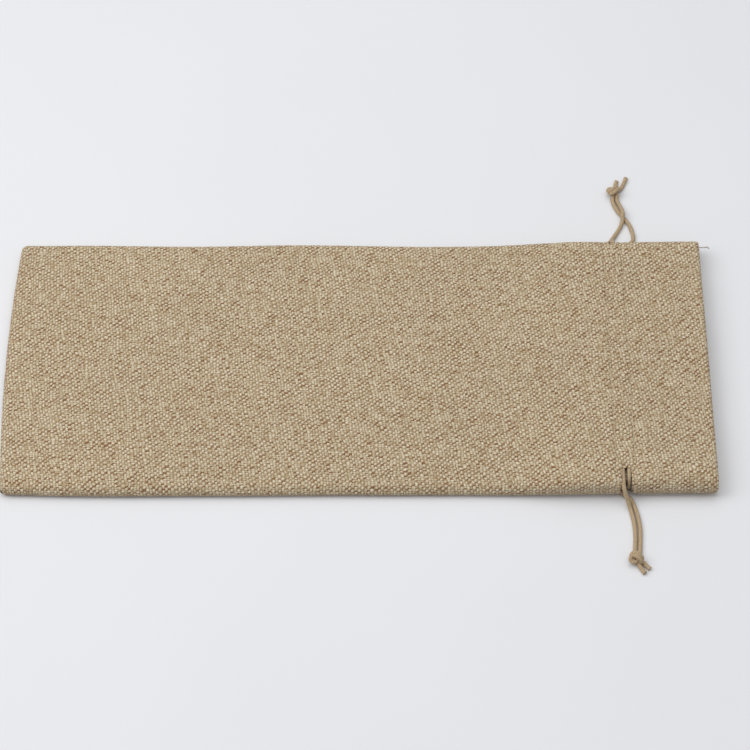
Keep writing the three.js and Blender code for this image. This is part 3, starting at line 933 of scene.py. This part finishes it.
def cloth(side, face, material):
    """Half of the front or back cloth, with its hem turned in at the mouth."""
    patch = cloth_patch(side, face)
    if (side, face) == ("far", "front"):
        patch += thread(smooth_route(LOOSE_YARN, 0.3), YARN_RADIUS * 1.6)
    name = f"{side}_{face}_cloth"
    piece = patch.piece(name, material, "cloth")
    drop_loose(piece)
    gathered(piece, side)
    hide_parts(f"{face}_panel", f"{face}_facing")


# ---- stitches, seams and allowances ----

THREAD = 0.5
TWIST = 1.1  # length of one turn of a thread's three plies
STITCH_RISE = 0.75
STITCH_DIP = 0.4
OVERLOCK_PITCH = 2.4
OVERLOCK_REACH = (0.9, 1.1)  # from a raw edge to the middle of the loops round it, and their half width
OVERLOCK_RISE = 1.15
SEAM_STITCH = 3.0
SEAM_RISE = 0.6
# From the bag's edge in to a seam's thread and to its allowance, and the seams' ends, as in the CAD source
SEAM_IN = 1.45
ALLOWANCE_IN = 2.1
ALLOWANCE_WIDTH = 9.9
SIDE_SEAM = (-160, 122)
RUFFLE_SEAM = (139, 172)
BOTTOM_SEAM = (-60, 60)
TACK_REACH = 4.2  # how far a slot's tack reaches up and down from the side seam
TACK_WIDTH = 1.5
TACK_PITCH = THREAD * 1.15
TACK_GAPS = (1.4, 1.6)  # from the slot's lower and upper end to the middle of the tack beside it


def thread(line, diameter=THREAD):
    """A Patch of three-ply sewing thread along a line, closed at both ends."""
    sides = 9
    angles = np.arange(sides + 1) / sides * 2 * math.pi
    u, v = np.meshgrid(distances(line) / TWIST, angles, indexing="ij")
    radius = diameter / 2 * (0.82 + 0.18 * np.abs(np.cos(1.5 * (v + u * 2 * math.pi))))
    radius[[0, -1]] *= 0.05
    rings = rings_round(line, angles, radius)
    return grid(rings[:, :-1], np.stack([u, v], -1), wrap=True)


def joined(patches):
    whole = patches[0]
    for patch in patches[1:]:
        whole = whole + patch
    return whole


def stitch_row(x, side, face):
    """Channel stitches end to end from the bag's middle line to one side: each rises out of the cloth, lies
    along it and dips back in."""
    patches = []
    outward = 1 if face == "front" else -1
    share = np.linspace(0.04, 0.96, 9)
    arch = STITCH_RISE * np.sin(math.pi * share) ** 0.5 - STITCH_DIP
    count = int(round((ROWS_END_Y - ROWS_START_Y) / STITCH))
    ends = np.linspace(ROWS_START_Y, ROWS_END_Y, count + 1)
    for first, last in zip(ends[:-1], ends[1:]):
        y = SIDES[side] * (first + (last - first) * share)
        heights = [float(face_height(np.array([x]), np.array([place]), face)[0]) for place in y]
        patches.append(thread(np.stack([share * 0 + x, y, heights + arch * outward], 1)))
    return joined(patches)


def channel_stitches(side, face, material):
    for row, x in (("lower", LOWER_ROW_X), ("upper", UPPER_ROW_X)):
        piece = stitch_row(x, side, face).piece(f"{side}_{face}_channel_{row}_stitches", material, "thread")
        gathered(piece, side)
        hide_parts(f"{face}_channel_{row}_stitching")


def zigzag(start, stop, at):
    """One thread that goes up and down through the cloths, stitch after stitch. at(place) is the seam's
    point."""
    count = int(round((stop - start) / SEAM_STITCH))
    corners = np.array([at(place) for place in np.linspace(start, stop, count + 1)])
    corners[0::2, 2] -= SEAM_RISE
    corners[1::2, 2] += SEAM_RISE
    return thread(evenly(corners, 0.35))


def overlock(start, stop, at, inwards):
    """A thread wound over a raw edge. at(place) is the edge's point and inwards the way from it into the
    cloth."""
    places = np.arange(start, stop, 0.25)
    turn = places / OVERLOCK_PITCH * 2 * math.pi
    middle, half = OVERLOCK_REACH
    line = np.array([at(place) for place in places])
    line += np.array(inwards) * (middle + half * np.cos(turn))[:, None]
    line[:, 2] += OVERLOCK_RISE * np.sin(turn)
    return thread(line, THREAD * 0.7)


def bowed(x, y):
    return x + BOTTOM_BOW * (y / (WIDTH / 2)) ** 2 * max(-x / (LENGTH / 2), 0) ** 3


def strip(start, stop, at):
    """Two raw edges of cloth lying together, back to back. at(place, share) is a point between them, at a
    share of the strip's width."""
    along = np.arange(start, stop, GRID_STEP * 2)
    shares = np.linspace(0, 1, 15)
    middle = np.array([[at(place, share) for share in shares] for place in along])
    u, v = np.meshgrid(along / YARN_X, shares * ALLOWANCE_WIDTH / YARN_Y, indexing="ij")
    lift = np.stack([u * 0, u * 0, CLOTH + weave_height(u, v)], -1)
    ring = np.concatenate([middle + lift, (middle - lift)[:, ::-1]], 1)
    uv = np.concatenate([np.stack([u, v], -1), np.stack([u, v + 20], -1)[:, ::-1]], 1)
    uv = np.concatenate([uv, uv[:, :1]], 1)
    return grid(ring, uv, wrap=True, flip=True)


def seam_pieces(name, seams, at, inwards, cloth_look, thread_look):
    """The allowance, the threads and the overlock of one edge, each with the CAD node it stands for. seams has
    each thread's ends, and the allowance and its overlock go along the first. at(place) is a point of the
    seam, and at(place, distance) one that far in from the bag's edge."""
    ends = next(iter(seams.values()))
    edge_in = ALLOWANCE_IN + ALLOWANCE_WIDTH
    allowance = strip(*ends, lambda place, share: at(place, ALLOWANCE_IN + share * ALLOWANCE_WIDTH))
    made = {f"{name}_seam_allowance": allowance.piece(f"{name}_allowance_strip", cloth_look, "cloth")}
    for seam, seam_ends in seams.items():
        made[f"{seam}_thread"] = zigzag(*seam_ends, at).piece(f"{seam}_stitches", thread_look, "thread")
    edging = overlock(*ends, lambda place: at(place, edge_in), inwards)
    made[f"{name}_overlock_thread"] = edging.piece(f"{name}_overlock_stitches", thread_look, "thread")
    return made


def side_seam(side, cloth_look, thread_look):
    """What holds the two cloths together along one side, below the slot and above it."""
    sign = SIDES[side]

    def at(x, inwards=SEAM_IN):
        return x, sign * (WIDTH / 2 - inwards), float(edge_height(x)) / 2

    seams = {f"{side}_side_seam": SIDE_SEAM, f"{side}_ruffle_seam": RUFFLE_SEAM}
    made = seam_pieces(side, seams, at, (0, sign, 0), cloth_look, thread_look)
    for node, piece in made.items():
        gathered(piece, side)
        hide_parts(node)


def bottom_seam(cloth_look, thread_look):
    def at(y, inwards=SEAM_IN):
        return bowed(inwards - LENGTH / 2, y), y, EDGE_HEIGHT / 2

    made = seam_pieces("bottom", {"bottom_seam": BOTTOM_SEAM}, at, (-1, 0, 0), cloth_look, thread_look)
    for node, piece in made.items():
        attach(piece, BAG)
        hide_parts(node)


def slot_tack(side, row, x, material):
    """A column of close stitches down the bag's side that ends the seam at one edge of the slot."""
    patches = []
    share = np.linspace(0, 1, 9)
    for from_seam in np.arange(-TACK_REACH, TACK_REACH, TACK_PITCH):
        face = "front" if from_seam > 0 else "back"
        unevenly = 0.12 * math.sin(from_seam * 7)
        across = x + TACK_WIDTH * (share - 0.5) + unevenly
        out = 0.35 * np.sin(math.pi * share) - 0.1
        from_middle = HALF_CLOTH - abs(from_seam) + 0.15 * share
        patches.append(thread(lay(across, 0.0, from_middle, -out, face, side)))
    piece = joined(patches).piece(f"{side}_slot_{row}_tack_stitches", material, "thread")
    gathered(piece, side)
    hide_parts(f"{side}_slot_{row}_tack")


def slot_tacks(side, material):
    start, stop = SLOT_X[side]
    slot_tack(side, "lower", start - TACK_GAPS[0], material)
    slot_tack(side, "upper", stop + TACK_GAPS[1], material)


# ---- making it ----

studio()
cord_look = braided_cord()
for side in SIDES:
    tied = knot(side, cord_look)
    for face in ("front", "back"):
        free_tail(side, face, cord_look)
    channel_loop(side, cord_look)

cloth_look = woven_cloth()
thread_look = sewing_thread()
for side in SIDES:
    for face in ("front", "back"):
        cloth(side, face, cloth_look)
        channel_stitches(side, face, thread_look)
    side_seam(side, cloth_look, thread_look)
    slot_tacks(side, thread_look)
bottom_seam(cloth_look, thread_look)
